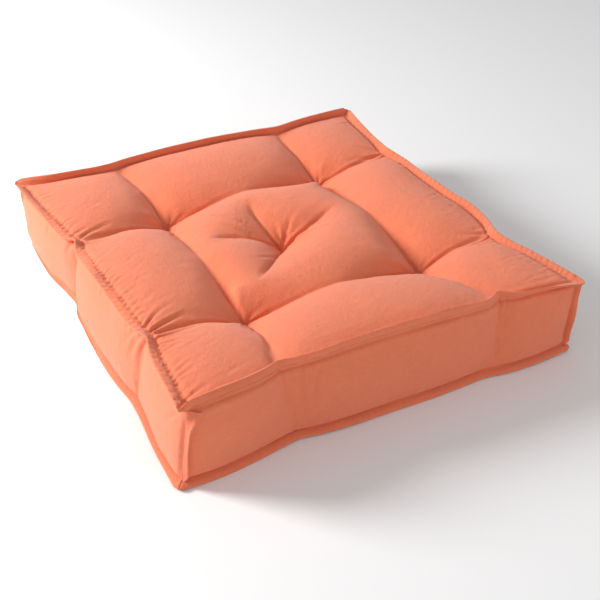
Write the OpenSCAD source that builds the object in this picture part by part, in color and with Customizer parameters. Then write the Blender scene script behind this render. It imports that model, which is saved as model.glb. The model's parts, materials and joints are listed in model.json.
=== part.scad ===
// Tufted box floor cushion. The cover is a top panel, a bottom panel and four side bands,
// sewn with their seam allowances on the outside. Five twine ties pull the panels together.
// Origin: centre of the footprint, on the floor. +X runs along the front edge, +Y to the back.

/* [Cushion] */
// Width between the left and right seams
cushion_w = 600; // [500:10:800]
// Depth between the front and back seams
cushion_d = 600; // [500:10:800]
// Height of the top seam above the floor
top_seam_z = 115; // [100:1:140]
// Height of the bottom seam above the floor
bottom_seam_z = 8; // [5:1:12]
// How far the pillows rise above the top seam
crown_rise = 13; // [8:1:18]
// Width of the slope between the flat underside and the bottom seam
underside_bevel = 40; // [20:1:60]
// Thickness of the cover fabric
fabric_t = 1; // [0.6:0.2:1.6]

/* [Seams] */
// How far the sewn edge stands out from the top and bottom seams
flange_w = 13; // [8:1:18]
// How far the sewn edge stands out from the corner seams
corner_flange_w = 11; // [6:1:14]
// Thickness of the seam thread
thread_t = 0.8; // [0.4:0.2:1.2]
// Distance from the side band out to the line of stitches
stitch_gap = 2; // [1:0.5:4]

/* [Tufts] */
// Distance of the outer ties from the centre, along X and along Y
tuft_offset = 141; // [110:1:160]
// Depth of the tufts below the top seam
tuft_depth = 38; // [20:1:42]
// Height of the underside tufts above the floor
underside_tuft_z = 34; // [20:1:38]
// Radius of the flat spot that the tie pulls down
tuft_r = 5; // [4.5:0.5:8]
// Radius of the rounded shoulder around a top tuft
top_shoulder = 60; // [56:1:80]
// Radius of the rounded shoulder around an underside tuft
underside_shoulder = 42; // [40:1:60]

/* [Ties] */
// Thickness of the tie twine
twine_d = 2; // [1.5:0.1:3]
// Length of the stitch that the twine makes on top
tie_stitch = 8; // [5:0.5:9]
// Diameter of the knot on the underside
knot_d = 6; // [4:0.5:8]
// Thickness of the knot on the underside
knot_t = 3; // [2:0.5:4]

/* [Hidden] */

FABRIC = "#EE9070";
THREAD = "#DE7C5A";
TWINE = "#E8DCC8";
FIBRE = "#F6F3EC";

// The panels' shaped area stops this far inside the seams, clear of the bands
panel_inset = 2 * fabric_t;
panel_w = cushion_w - 2 * panel_inset;
panel_d = cushion_d - 2 * panel_inset;
crown_z = top_seam_z + crown_rise;
top_tuft_z = top_seam_z - tuft_depth;
middle_z = (top_tuft_z + underside_tuft_z) / 2;
// A cutter is made this much larger than what it cuts
overshoot = 1;
twine_clearance = 0.4;
// Seam threads stop this far short of the corners
thread_end_gap = 4;
mitre_reach = 30;
ARC_SIDES = 360;

// A chord's circle: the radius at which an arc over the chord rises this much
function arc_radius(chord, rise) = (chord * chord / 4 + rise * rise) / (2 * rise);

module at_tufts() {
    for (spot = [[0, 0], [-1, -1], [1, -1], [1, 1], [-1, 1]]) {
        translate([spot[0] * tuft_offset, spot[1] * tuft_offset, 0]) children();
    }
}

// One pillow roll in section, as the disc whose top is its crown
module roll_disc(from, to, inset) {
    radius = arc_radius(to - from, crown_rise);
    translate([(from + to) / 2, crown_z - radius]) circle(r = radius - inset, $fn = ARC_SIDES);
}

// Three rolls side by side, with valleys over the tufts
module roll_section(span, inset, reach) {
    half = span / 2;
    intersection() {
        union() {
            roll_disc(-half, -tuft_offset, inset);
            roll_disc(-tuft_offset, tuft_offset, inset);
            roll_disc(tuft_offset, half, inset);
        }
        translate([-half - reach, middle_z]) square([span + 2 * reach, crown_z]);
    }
}

// The underside in section: flat, with a slope up to each seam
module underside_section(span, inset, reach) {
    half = span / 2;
    slope = bottom_seam_z / underside_bevel;
    edge_z = bottom_seam_z + reach * slope;
    translate([0, inset]) polygon([
        [-half - reach, edge_z],
        [-half + underside_bevel, 0],
        [half - underside_bevel, 0],
        [half + reach, edge_z],
        [half + reach, middle_z - inset],
        [-half - reach, middle_z - inset]
    ]);
}

// A section in X and Z, drawn out along Y
module along_y(length) {
    rotate([90, 0, 0]) linear_extrude(length, center = true) children();
}

// A section in Y and Z, drawn out along X
module along_x(length) {
    rotate([90, 0, 90]) linear_extrude(length, center = true) children();
}

// The hollow above a tuft: its wall rolls over into the pillows around it
module dimple(shoulder, inset) {
    rotate_extrude($fn = ARC_SIDES / 4) difference() {
        translate([0, -inset]) square([tuft_r + shoulder, shoulder + crown_z]);
        translate([tuft_r + shoulder, 0]) circle(r = shoulder - inset, $fn = ARC_SIDES / 2);
    }
}

// The upper half of the stuffed shape, drawn in by inset all over
module top_form(inset, reach) {
    difference() {
        intersection() {
            along_y(panel_d + 2 * reach) roll_section(panel_w, inset, reach);
            along_x(panel_w + 2 * reach) roll_section(panel_d, inset, reach);
        }
        at_tufts() translate([0, 0, top_tuft_z]) dimple(top_shoulder, inset);
    }
}

// The lower half of the stuffed shape, drawn in by inset all over
module underside_form(inset, reach) {
    difference() {
        intersection() {
            along_y(panel_d + 2 * reach) underside_section(panel_w, inset, reach);
            along_x(panel_w + 2 * reach) underside_section(panel_d, inset, reach);
        }
        at_tufts() translate([0, 0, underside_tuft_z]) mirror([0, 0, 1]) dimple(underside_shoulder, inset);
    }
}

// A flat square ring between two rectangles, from bottom_z up
module ring(inner_w, inner_d, outer_w, outer_d, bottom_z, thickness) {
    translate([0, 0, bottom_z]) linear_extrude(thickness) difference() {
        square([outer_w, outer_d], center = true);
        square([inner_w, inner_d], center = true);
    }
}

// The holes that the ties run through
module tie_holes() {
    at_tufts() cylinder(h = crown_z, d = twine_d + twine_clearance, $fn = 32);
}

module top_panel() {
    color(FABRIC) difference() {
        union() {
            difference() {
                top_form(0, 0);
                top_form(fabric_t, overshoot);
            }
            ring(panel_w, panel_d, cushion_w + 2 * flange_w, cushion_d + 2 * flange_w,
                top_seam_z - fabric_t, fabric_t);
        }
        tie_holes();
    }
}

module bottom_panel() {
    color(FABRIC) difference() {
        union() {
            difference() {
                underside_form(0, 0);
                underside_form(fabric_t, overshoot);
            }
            ring(panel_w, panel_d, cushion_w + 2 * flange_w, cushion_d + 2 * flange_w,
                bottom_seam_z, fabric_t);
        }
        tie_holes();
    }
}

// The upright plate along each corner's diagonal: the two bands' allowances, face to face
module corner_flanges() {
    lower_z = bottom_seam_z + 2 * fabric_t;
    upper_z = top_seam_z - 2 * fabric_t;
    for (x = [-1, 1], y = [-1, 1]) {
        translate([x * cushion_w / 2, y * cushion_d / 2, lower_z])
            rotate([0, 0, atan2(y, x)])
            translate([-fabric_t, -fabric_t, 0])
            cube([fabric_t + corner_flange_w, 2 * fabric_t, upper_z - lower_z]);
    }
}

// All four bands as one frame: the walls, and the allowances that turn outwards
module band_frame() {
    wall_w = cushion_w - 2 * fabric_t;
    wall_d = cushion_d - 2 * fabric_t;
    flange_outer_w = cushion_w + 2 * flange_w;
    flange_outer_d = cushion_d + 2 * flange_w;
    wall_z = bottom_seam_z + fabric_t;
    ring(wall_w, wall_d, cushion_w, cushion_d, wall_z, top_seam_z - fabric_t - wall_z);
    ring(wall_w, wall_d, flange_outer_w, flange_outer_d, top_seam_z - 2 * fabric_t, fabric_t);
    ring(wall_w, wall_d, flange_outer_w, flange_outer_d, wall_z, fabric_t);
    corner_flanges();
}

// One band: the part of the frame on one side, mitred at 45 degrees at its ends
module band(side_length, side_distance, turn) {
    half = side_length / 2;
    color(FABRIC) intersection() {
        band_frame();
        rotate([0, 0, turn]) linear_extrude(crown_z) polygon([
            [-half - mitre_reach, -side_distance - mitre_reach],
            [half + mitre_reach, -side_distance - mitre_reach],
            [half - mitre_reach, -side_distance + mitre_reach],
            [-half + mitre_reach, -side_distance + mitre_reach]
        ]);
    }
}

module front_band() {
    band(cushion_w, cushion_d / 2, 0);
}

module right_band() {
    band(cushion_d, cushion_w / 2, 90);
}

module back_band() {
    band(cushion_w, cushion_d / 2, 180);
}

module left_band() {
    band(cushion_d, cushion_w / 2, 270);
}

module fibre_fill() {
    color(FIBRE) difference() {
        union() {
            top_form(fabric_t, 0);
            underside_form(fabric_t, 0);
        }
        tie_holes();
    }
}

// A length of twine through the fill, with a stitch on top and a knot underneath
module tie(x, y) {
    color(TWINE) translate([x * tuft_offset, y * tuft_offset, 0]) {
        translate([0, 0, underside_tuft_z - knot_t])
            cylinder(h = top_tuft_z + twine_d / 2 - underside_tuft_z + knot_t, d = twine_d, $fn = 32);
        translate([0, 0, underside_tuft_z - knot_t]) cylinder(h = knot_t, d = knot_d, $fn = 32);
        translate([0, 0, top_tuft_z + twine_d / 2]) rotate([0, 90, 0])
            cylinder(h = tie_stitch, d = twine_d, center = true, $fn = 32);
    }
}

module centre_tie() {
    tie(0, 0);
}

module front_left_tie() {
    tie(-1, -1);
}

module front_right_tie() {
    tie(1, -1);
}

module back_right_tie() {
    tie(1, 1);
}

module back_left_tie() {
    tie(-1, 1);
}

// A straight thread line along each of the four sides, from bottom_z up
module thread_lines(bottom_z) {
    line_x = cushion_w / 2 + stitch_gap;
    line_y = cushion_d / 2 + stitch_gap;
    length_x = cushion_w - 2 * thread_end_gap;
    length_y = cushion_d - 2 * thread_end_gap;
    for (side = [-1, 1]) {
        translate([-length_x / 2, side * line_y - thread_t / 2, bottom_z])
            cube([length_x, thread_t, thread_t]);
        translate([side * line_x - thread_t / 2, -length_y / 2, bottom_z])
            cube([thread_t, length_y, thread_t]);
    }
}

module top_seam_stitching() {
    color(THREAD) {
        thread_lines(top_seam_z);
        thread_lines(top_seam_z - 2 * fabric_t - thread_t);
    }
}

module bottom_seam_stitching() {
    color(THREAD) {
        thread_lines(bottom_seam_z - thread_t);
        thread_lines(bottom_seam_z + 2 * fabric_t);
    }
}

// Two upright threads, one on each face of a corner's plate
module corner_stitching(x, y) {
    lower_z = bottom_seam_z + 2 * fabric_t + thread_end_gap;
    upper_z = top_seam_z - 2 * fabric_t - thread_end_gap;
    color(THREAD) translate([x * cushion_w / 2, y * cushion_d / 2, lower_z])
        rotate([0, 0, atan2(y, x)]) for (face = [-1, 1]) {
            translate([stitch_gap, face * (fabric_t + thread_t / 2) - thread_t / 2, 0])
                cube([thread_t, thread_t, upper_z - lower_z]);
        }
}

module front_left_corner_stitching() {
    corner_stitching(-1, -1);
}

module front_right_corner_stitching() {
    corner_stitching(1, -1);
}

module back_right_corner_stitching() {
    corner_stitching(1, 1);
}

module back_left_corner_stitching() {
    corner_stitching(-1, 1);
}

top_panel();
bottom_panel();
front_band();
right_band();
back_band();
left_band();
fibre_fill();
centre_tie();
front_left_tie();
front_right_tie();
back_right_tie();
back_left_tie();
top_seam_stitching();
bottom_seam_stitching();
front_left_corner_stitching();
front_right_corner_stitching();
back_right_corner_stitching();
back_left_corner_stitching();
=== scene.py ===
"""A tufted floor cushion in coral cotton: six cover panels, stuffed with fibre and tied in five places."""

import json
import math

import bpy
import numpy as np
from mathutils import Matrix, Vector

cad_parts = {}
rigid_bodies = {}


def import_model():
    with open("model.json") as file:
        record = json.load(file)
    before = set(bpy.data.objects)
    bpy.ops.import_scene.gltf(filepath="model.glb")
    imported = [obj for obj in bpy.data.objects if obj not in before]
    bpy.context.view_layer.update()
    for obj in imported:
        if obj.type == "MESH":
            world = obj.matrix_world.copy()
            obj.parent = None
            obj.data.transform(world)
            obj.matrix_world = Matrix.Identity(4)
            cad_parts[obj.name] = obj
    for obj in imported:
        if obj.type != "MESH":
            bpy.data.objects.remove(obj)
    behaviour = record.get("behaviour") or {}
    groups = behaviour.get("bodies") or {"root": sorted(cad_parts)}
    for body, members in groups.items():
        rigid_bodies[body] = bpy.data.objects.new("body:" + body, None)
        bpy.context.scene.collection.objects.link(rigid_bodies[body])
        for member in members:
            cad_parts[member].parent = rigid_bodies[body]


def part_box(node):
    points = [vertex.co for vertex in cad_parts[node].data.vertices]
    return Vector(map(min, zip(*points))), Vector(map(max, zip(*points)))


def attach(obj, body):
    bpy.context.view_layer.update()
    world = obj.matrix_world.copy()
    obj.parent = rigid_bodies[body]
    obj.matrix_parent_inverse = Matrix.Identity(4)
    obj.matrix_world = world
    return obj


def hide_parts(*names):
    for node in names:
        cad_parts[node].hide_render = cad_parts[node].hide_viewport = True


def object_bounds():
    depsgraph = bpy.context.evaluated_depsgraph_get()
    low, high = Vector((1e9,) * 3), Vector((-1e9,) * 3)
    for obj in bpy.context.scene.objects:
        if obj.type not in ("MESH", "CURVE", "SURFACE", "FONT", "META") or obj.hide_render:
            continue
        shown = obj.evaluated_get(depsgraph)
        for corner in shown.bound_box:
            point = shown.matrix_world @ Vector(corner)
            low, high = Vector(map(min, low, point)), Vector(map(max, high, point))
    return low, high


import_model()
CAD_LO, CAD_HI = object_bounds()
MM = 0.001

# ---------------- sizes, in millimetres


def box_mm(node):
    lo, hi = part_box(node)
    return np.array(lo) / MM, np.array(hi) / MM


PLY = 1.0
TOP_HI = box_mm("top_panel")[1]
BAND_LO, BAND_HI = box_mm("front_band")
HALF = -BAND_HI[1] + PLY
FLANGE = TOP_HI[0] - HALF
TOP_Z = BAND_HI[2] + PLY
BOTTOM_Z = BAND_LO[2] - PLY


def tie_centre(name, nudge=(0, 0)):
    lo, hi = box_mm(name)
    return np.array([(lo[0] + hi[0]) / 2 + nudge[0], (lo[1] + hi[1]) / 2 + nudge[1]])


TUFTS = {
    "centre_tie": tie_centre("centre_tie"),
    "front_left_tie": tie_centre("front_left_tie", (1, 1)),
    "front_right_tie": tie_centre("front_right_tie", (7, -2)),
    "back_right_tie": tie_centre("back_right_tie", (7, 5)),
    "back_left_tie": tie_centre("back_left_tie", (11, -8)),
}
TOP_TUFT_Z = box_mm("centre_tie")[1][2] - 2
UNDER_TUFT_Z = box_mm("centre_tie")[0][2] + 3
C, E, D, B, A = (TUFTS[n] for n in TUFTS)

# ---------------- small tools


def smooth(x, lo, hi):
    t = np.clip((np.asarray(x, float) - lo) / (hi - lo), 0, 1)
    return t * t * (3 - 2 * t)


def bell(x, width):
    """1 at nought, falling away over width on both sides."""
    return np.exp(-((x / width) ** 2))


def curve(knots):
    """A smooth function through (place, value) knots, flat beyond the ends."""
    xs = np.array([k[0] for k in knots], float)
    ys = np.array([k[1] for k in knots], float)
    slope = np.gradient(ys, xs)

    def at(x):
        x = np.clip(np.asarray(x, float), xs[0], xs[-1])
        i = np.clip(np.searchsorted(xs, x) - 1, 0, len(xs) - 2)
        h = xs[i + 1] - xs[i]
        t = (x - xs[i]) / h
        a, b = ys[i], ys[i + 1]
        m, n = slope[i] * h, slope[i + 1] * h
        return (
            (2 * t**3 - 3 * t**2 + 1) * a
            + (t**3 - 2 * t**2 + t) * m
            + (3 * t**2 - 2 * t**3) * b
            + (t**3 - t**2) * n
        )

    return at


def resample(n, at):
    """A matrix that reads n even samples over 0..1 at the places at, by Catmull-Rom."""
    x = np.clip(np.asarray(at, float), 0, 1) * (n - 1)
    i = np.clip(np.floor(x).astype(int), 0, n - 2)
    t = x - i
    rows = np.arange(len(x))
    out = np.zeros((len(x), n))
    for k, w in (
        (-1, -0.5 * t + t**2 - 0.5 * t**3),
        (0, 1 - 2.5 * t**2 + 1.5 * t**3),
        (1, 0.5 * t + 2 * t**2 - 1.5 * t**3),
        (2, -0.5 * t**2 + 0.5 * t**3),
    ):
        np.add.at(out, (rows, np.clip(i + k, 0, n - 1)), w)
    return out


def normals(grid):
    """Unit normals of a grid of points, on the side of d/du x d/dv."""
    du = np.gradient(grid, axis=0)
    dv = np.gradient(grid, axis=1)
    n = np.cross(du, dv)
    return n / np.maximum(np.linalg.norm(n, axis=2, keepdims=True), 1e-9)


def membrane(z, fixed, pull, target, step, rounds, over=1.9):
    """A film held at fixed cells and drawn to target by pull, settled by red-black relaxation."""
    ii, jj = np.indices(z.shape)
    inner = ~fixed
    inner[0, :] = inner[-1, :] = inner[:, 0] = inner[:, -1] = False
    masks = [inner & ((ii + jj) % 2 == c) for c in (0, 1)]
    stiff = pull * step * step
    push = stiff * target
    for _ in range(rounds):
        for m in masks:
            new = np.zeros_like(z)
            new[1:-1, 1:-1] = z[2:, 1:-1] + z[:-2, 1:-1] + z[1:-1, 2:] + z[1:-1, :-2]
            new = (new + push) / (4 + stiff)
            z = np.where(m, z + over * (new - z), z)
    return z


def path(p0, p1, bend=0.0, n=33):
    """Points from p0 to p1 on an arc that bows sideways by bend."""
    t = np.linspace(0, 1, n)[:, None]
    p0, p1 = np.asarray(p0, float), np.asarray(p1, float)
    side = np.array([-(p1 - p0)[1], (p1 - p0)[0]])
    side = side / np.linalg.norm(side)
    return p0 * (1 - t) + p1 * t + side * bend * 4 * t * (1 - t)


def nearest(x, y, line):
    """Distance from each point to a polyline, and how far along it that is, 0..1."""
    best = np.full(np.shape(x), 1e9)
    along = np.zeros(np.shape(x))
    seg = np.diff(line, axis=0)
    length = np.linalg.norm(seg, axis=1)
    total, done = length.sum(), 0.0
    for a, s, l in zip(line[:-1], seg, length):
        dx, dy = x - a[0], y - a[1]
        t = np.clip((dx * s[0] + dy * s[1]) / (l * l), 0, 1)
        d = np.hypot(dx - t * s[0], dy - t * s[1])
        closer = d < best
        best = np.where(closer, d, best)
        along = np.where(closer, (done + t * l) / total, along)
        done += l
    return best, along


# ---------------- seams: how far each side is drawn in

INSET_TOP = {
    "left": curve([
        (-300, 0), (-256, 5), (-189, 13), (-147, 21), (-128, 20), (-99, 17), (-51, 16), (-18, 15),
        (40, 15), (80, 17), (104, 22), (125, 16), (168, 10), (234, 3), (300, 0),
    ]),
    "right": curve([
        (-300, -6), (-264, 1), (-209, 12), (-146, 23), (-114, 14), (-72, 10), (-20, 17), (45, 19),
        (112, 16), (152, 20), (190, 18), (251, 12), (300, 2),
    ]),
    "front": curve([
        (-300, 0), (-259, 1), (-215, 4), (-185, 11), (-167, 18), (-145, 17), (-107, 14), (-49, 13),
        (58, 9), (120, 8), (160, 11), (183, 18), (205, 11), (240, 6), (300, 0),
    ]),
    "back": curve([
        (-300, 4), (-264, 11), (-220, 13), (-160, 13), (-130, 8), (-90, 6), (0, 6), (60, 4), (120, 6),
        (150, 10), (185, 6), (250, 1), (300, -3),
    ]),
}
INSET_BOTTOM = {
    "left": curve([
        (-300, -11), (-235, -6), (-165, 3), (-138, 5), (-90, 2), (0, 2), (50, 5), (90, 11), (112, 19),
        (140, 18), (200, 9), (250, 8), (300, 10),
    ]),
    "right": curve([
        (-300, -2), (-235, 4), (-160, 18), (-130, 14), (-50, 6), (60, 8), (150, 18), (190, 10),
        (300, 0),
    ]),
    "front": curve([
        (-300, -4), (-259, -5), (-211, 0), (-164, 8), (-143, 11), (-110, 6), (-76, 3), (0, 1),
        (66, -1), (120, 0), (155, 1), (194, -5), (240, -7), (300, -4),
    ]),
    "back": curve([(-300, 0), (-150, 14), (0, 5), (150, 15), (300, 0)]),
}
LIFT_TOP = {
    "left": curve([(-300, -3), (-200, 1), (-147, -3), (-60, 1), (50, 1), (104, -3), (180, 1), (300, 0)]),
    "right": curve([(-300, 0), (-210, 1), (-146, -3), (-50, 1), (70, 1), (152, -3), (230, 1), (300, 0)]),
    "front": curve([(-300, -3), (-230, 0), (-167, -2), (-60, 2), (100, 2), (183, -3), (240, 0), (300, 0)]),
    "back": curve([(-300, 0), (-220, -2), (-150, -3), (0, 2), (150, -1), (230, 2), (300, 0)]),
}
# how far into a panel the drawing in of its seams is felt
DRAW_REACH = 130.0


def seam_shift(u, v, inset):
    """How a panel's points move in as its four seams are drawn in."""
    def near(d):
        return np.clip(1 - d / DRAW_REACH, 0, 1) ** 2

    dx = inset["left"](v) * near(u + HALF) - inset["right"](v) * near(HALF - u)
    dy = inset["front"](u) * near(v + HALF) - inset["back"](u) * near(HALF - v)
    return dx, dy


def rim_z(u, v, lift, level):
    """Height of the seam at a rim point, joined at the corners."""
    on_x = np.abs(np.abs(u) - HALF) < 1e-6
    z_x = np.where(u < 0, lift["left"](v), lift["right"](v))
    z_y = np.where(v < 0, lift["front"](u), lift["back"](u))
    return level + np.where(on_x, z_x, z_y)


# ---------------- the stuffed form

KINKS = {
    "L1": (-HALF, 104), "L2": (-HALF, -147), "R1": (HALF, 152), "R2": (HALF, -146),
    "F1": (-167, -HALF), "F2": (183, -HALF), "K1": (-150, HALF), "K2": (150, HALF),
}
DEEP = TOP_TUFT_Z - TOP_Z
RIM = -2.0
# from, to, heights above the seam at the start, the end and half way, sideways bow,
# how firmly it holds half way
CREASES_TOP = [
    (A, KINKS["L1"], DEEP, RIM, -9, 3, 0.9),
    (A, KINKS["K1"], DEEP, RIM, -8, -3, 0.7),
    (B, KINKS["K2"], DEEP, RIM, -8, 3, 0.7),
    (B, KINKS["R1"], DEEP, RIM, -9, -3, 0.9),
    (D, KINKS["R2"], DEEP, RIM, -9, 4, 0.8),
    (D, KINKS["F2"], DEEP, RIM, -6, -4, 0.6),
    (E, KINKS["F1"], DEEP, RIM, -6, 4, 0.6),
    (E, KINKS["L2"], DEEP, RIM, -8, -3, 0.9),
    (A, B, DEEP, DEEP, -8, 4, 0.6),
    (B, D, DEEP, DEEP, -7, 3, 0.6),
    (D, E, DEEP, DEEP, -5, 5, 0.5),
    (E, A, DEEP, DEEP, -7, 4, 0.5),
]
# creases that run out inside a pillow: from, to, heights at the start and the end, bow, how firmly it holds
SPENT_TOP = [
    (C, (-4, 106), DEEP, 8, 12, 1.0),
    (C, (110, 30), DEEP, 8, -4, 1.0),
    (C, (-122, 30), DEEP, 6, -8, 1.0),
    (C, (-108, -104), DEEP, 4, 6, 1.0),
    (E, (-128, -86), DEEP, 8, 3, 0.6),
    (D, (96, -104), DEEP, 8, 3, 0.6),
    (B, (106, 104), DEEP, 8, 3, 0.6),
    (A, (-172, 182), DEEP, 8, 3, 0.5),
    (D, (196, -196), DEEP, 8, -3, 0.5),
    (B, (190, 196), DEEP, 8, 3, 0.5),
    (E, (-186, -190), DEEP, 8, -3, 0.4),
]
# how steeply a crease climbs out of a tuft
CREASE_RISE = 1.45


def crease_level(s, start, end, middle):
    """Height along a crease: it rises steeply out of a tuft, then levels off."""
    def rise(t):
        return 1 - (1 - np.clip(t, 0, 1)) ** CREASE_RISE

    first = start + (middle - start) * rise(s / 0.5)
    last = end + (middle - end) * rise((1 - s) / 0.5)
    return np.where(s < 0.5, first, last)


def soft_noise(u, v, cell, seed, span=700.0):
    """Smooth noise of about one unit, with bumps about cell across, over a grid of u rows and v columns."""
    n = int(span / cell) + 4
    grid = np.random.default_rng(seed).normal(size=(n, n))
    mu = resample(n, u / span + 0.5)
    mv = resample(n, v / span + 0.5)
    return mu @ grid @ mv.T


def add_crease(pull, target, weight, level):
    total = pull + weight
    mixed = (target * pull + level * weight) / np.maximum(total, 1e-12)
    return total, np.where(total > 1e-12, mixed, target)


def rim_mask(shape):
    rim = np.zeros(shape, bool)
    rim[0, :] = rim[-1, :] = rim[:, 0] = rim[:, -1] = True
    return rim


# how firmly the stuffing holds the top at its plateau, the plateau's height above the seam,
# what the inner pillow adds, what the corner pillows lose and how uneven it all is
PLUMP = 1 / 39.0**2
PLATEAU = 20.0
INNER_PILLOW, CORNER_PILLOW, UNEVEN = 3.5, 1.0, 1.6
CREASE_PULL = 0.6
SPENT_MIDDLE = -9


def stuffed_top(n_fine):
    """Heights of the top above its seam on a square grid: a film stuffed from below, held by its creases."""
    z = None
    for n in (31, 61, 121, n_fine):
        axis = np.linspace(-HALF, HALF, n)
        u, v = np.meshgrid(axis, axis, indexing="ij")
        step = axis[1] - axis[0]
        width = max(2.2, 0.75 * step)
        inner = (1 - smooth(np.abs(u), 110, 160)) * (1 - smooth(np.abs(v), 110, 160))
        corner = smooth(np.abs(u), 140, 200) * smooth(np.abs(v), 140, 200)
        target = PLATEAU + INNER_PILLOW * inner - CORNER_PILLOW * corner
        target = target + UNEVEN * soft_noise(axis, axis, 90, 31)
        pull = np.full_like(u, PLUMP)
        held = [(*crease, False) for crease in CREASES_TOP]
        held += [(p, q, a, b, SPENT_MIDDLE, bow, hold, True) for p, q, a, b, bow, hold in SPENT_TOP]
        for p0, p1, start, end, middle, bow, hold, spent in held:
            line = path(p0, p1, bow)
            lo, hi = line.min(0) - 4 * width, line.max(0) + 4 * width
            i0, i1 = np.searchsorted(axis, (lo[0], hi[0]))
            j0, j1 = np.searchsorted(axis, (lo[1], hi[1]))
            part = (slice(i0, i1), slice(j0, j1))
            d, s = nearest(u[part], v[part], line)
            level = crease_level(s, start, end, middle)
            firm = hold + (1 - hold) * np.abs(2 * s - 1) ** 1.5
            firm = np.where(spent, hold * (1 - smooth(s, 0.45, 1.0)), firm)
            weight = bell(d, width) * firm * CREASE_PULL
            pull[part], target[part] = add_crease(pull[part], target[part], weight, level)
        rim = rim_mask(u.shape)
        heights = np.where(rim, rim_z(u, v, LIFT_TOP, 0.0), 0.0)
        if z is None:
            guess = heights
        else:
            m = resample(len(z), np.linspace(0, 1, n))
            guess = np.where(rim, heights, m @ z @ m.T)
        z = membrane(guess, rim, pull, target, step, 70 if n > 61 else 120)
    return z


UNDER_PLUMP = 1 / 30.0**2
UNDER_BULGE = 7.0
UNDER_MIDDLE = -2.0
UNDER_PULL = 0.4


def stuffed_bottom(n):
    """Heights of the underside above its seam: it bulges down and is drawn up at the tufts."""
    axis = np.linspace(-HALF, HALF, n)
    u, v = np.meshgrid(axis, axis, indexing="ij")
    step = axis[1] - axis[0]
    width = max(3.0, 0.75 * step)
    target = np.full_like(u, -BOTTOM_Z - UNDER_BULGE)
    pull = np.full_like(u, UNDER_PLUMP)
    deep = UNDER_TUFT_Z - BOTTOM_Z
    across = [(p, q, deep, 0.5) for p, q in ((A, B), (B, D), (D, E), (E, A), (C, A), (C, B), (C, D), (C, E))]
    outward = [(crease[0], crease[1], 0.0, 0.8) for crease in CREASES_TOP if crease[3] == RIM]
    for p0, p1, end, hold in across + outward:
        d, s = nearest(u, v, path(p0, p1))
        level = crease_level(s, deep, end, UNDER_MIDDLE)
        firm = hold + (1 - hold) * np.abs(2 * s - 1) ** 1.5
        pull, target = add_crease(pull, target, bell(d, width) * UNDER_PULL * firm, level)
    return membrane(np.zeros_like(u), rim_mask(u.shape), pull, target, step, 300)


BAND_CREASES = {
    # place at the bottom, place at the top, how far out it stands, hold half way up
    "left": [(112, 104, 1.0, 0.45), (-138, -147, 1.5, 0.25)],
    "right": [(-150, -146, 1.0, 0.3), (150, 152, 1.0, 0.3)],
    "front": [(-143, -167, 2.0, 0.10), (172, 183, 1.5, 0.3)],
    "back": [(-150, -150, 1.5, 0.2), (150, 150, 1.5, 0.2)],
}
# how far each band bulges, how far in from a seam it gets there, and how square its bulge is
BAND_PLUMP = {"left": 15.0, "right": 12.0, "front": 10.0, "back": 11.0}
BAND_REACH = 26.0
FULLNESS = 0.55
BAND_UNEVEN = 0.12
BAND_CREASE_WIDTH, BAND_CREASE_PULL = 3.5, 0.5
RISE = TOP_Z - BOTTOM_Z


def bulge(side, n_s, n_z):
    """How far a band stands out from its seams, on an even grid."""
    s_axis, z_axis = np.linspace(-HALF, HALF, n_s), np.linspace(0, RISE, n_z)
    step = s_axis[1] - s_axis[0]
    s, z = np.meshgrid(s_axis, z_axis, indexing="ij")
    target = BAND_PLUMP[side] * (1 + BAND_UNEVEN * soft_noise(s_axis, z_axis, 110, 57 + len(side)))
    pull = np.full_like(s, 1 / BAND_REACH**2)
    for low, high, level, hold in BAND_CREASES[side]:
        place = low + (high - low) * z / RISE
        ends = np.abs(2 * z / RISE - 1) ** 1.5
        near = bell(s - place, BAND_CREASE_WIDTH)
        weight = near * BAND_CREASE_PULL * (hold + (1 - hold) * ends)
        pull, target = add_crease(pull, target, weight, level)
    out = membrane(np.zeros_like(s), rim_mask(s.shape), pull, target, step, 400)
    return BAND_PLUMP[side] * (np.maximum(out, 0) / BAND_PLUMP[side]) ** FULLNESS


top_form = stuffed_top(241)
under_form = stuffed_bottom(121)
band_forms = {side: bulge(side, 121, 23) for side in BAND_CREASES}


def form_at(form, u, v):
    mu = resample(form.shape[0], (u + HALF) / (2 * HALF))
    mv = resample(form.shape[1], (v + HALF) / (2 * HALF))
    return mu @ form @ mv.T


# ---------------- flanges

# how far each flange leans from level, in degrees, along its side
TILT_TOP = {
    "left": curve([
        (-300, 18), (-200, 6), (-147, 26), (-130, 2), (0, 3), (90, 6), (104, 36), (118, 6), (200, 10),
        (300, 24),
    ]),
    "right": curve([
        (-300, 12), (-180, 20), (-146, 45), (-120, 35), (0, 30), (130, 35), (152, 55), (175, 30),
        (300, 40),
    ]),
    "front": curve([
        (-300, 104), (-270, 122), (-200, 124), (-167, 112), (-150, 96), (-60, 97), (100, 96),
        (170, 94), (183, 108), (200, 76), (260, 40), (300, 14),
    ]),
    "back": curve([
        (-300, 30), (-260, 60), (-140, 75), (-40, 74), (80, 84), (160, 76), (240, 82), (300, 60),
    ]),
}
TILT_BOTTOM = {
    "left": curve([(-300, -28), (-150, -22), (-40, -40), (60, -60), (104, -50), (200, -60), (300, -80)]),
    "right": curve([(-300, -20), (-150, -20), (0, -30), (150, -18), (300, -28)]),
    "front": curve([(-300, -28), (-200, -34), (-143, -24), (0, -30), (185, -26), (300, -20)]),
    "back": curve([(-300, -60), (-150, -20), (0, -30), (150, -20), (300, -28)]),
}
# the axis that a side runs along, which end of the other axis it is at, and its outward direction
SIDES = {
    "left": ("v", -1, np.array([-1.0, 0, 0])),
    "right": ("v", 1, np.array([1.0, 0, 0])),
    "front": ("u", -1, np.array([0, -1.0, 0])),
    "back": ("u", 1, np.array([0, 1.0, 0])),
}


CORNER_BLUNT = 0.8


def inside(u):
    return np.clip(u, -HALF, HALF)


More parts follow.
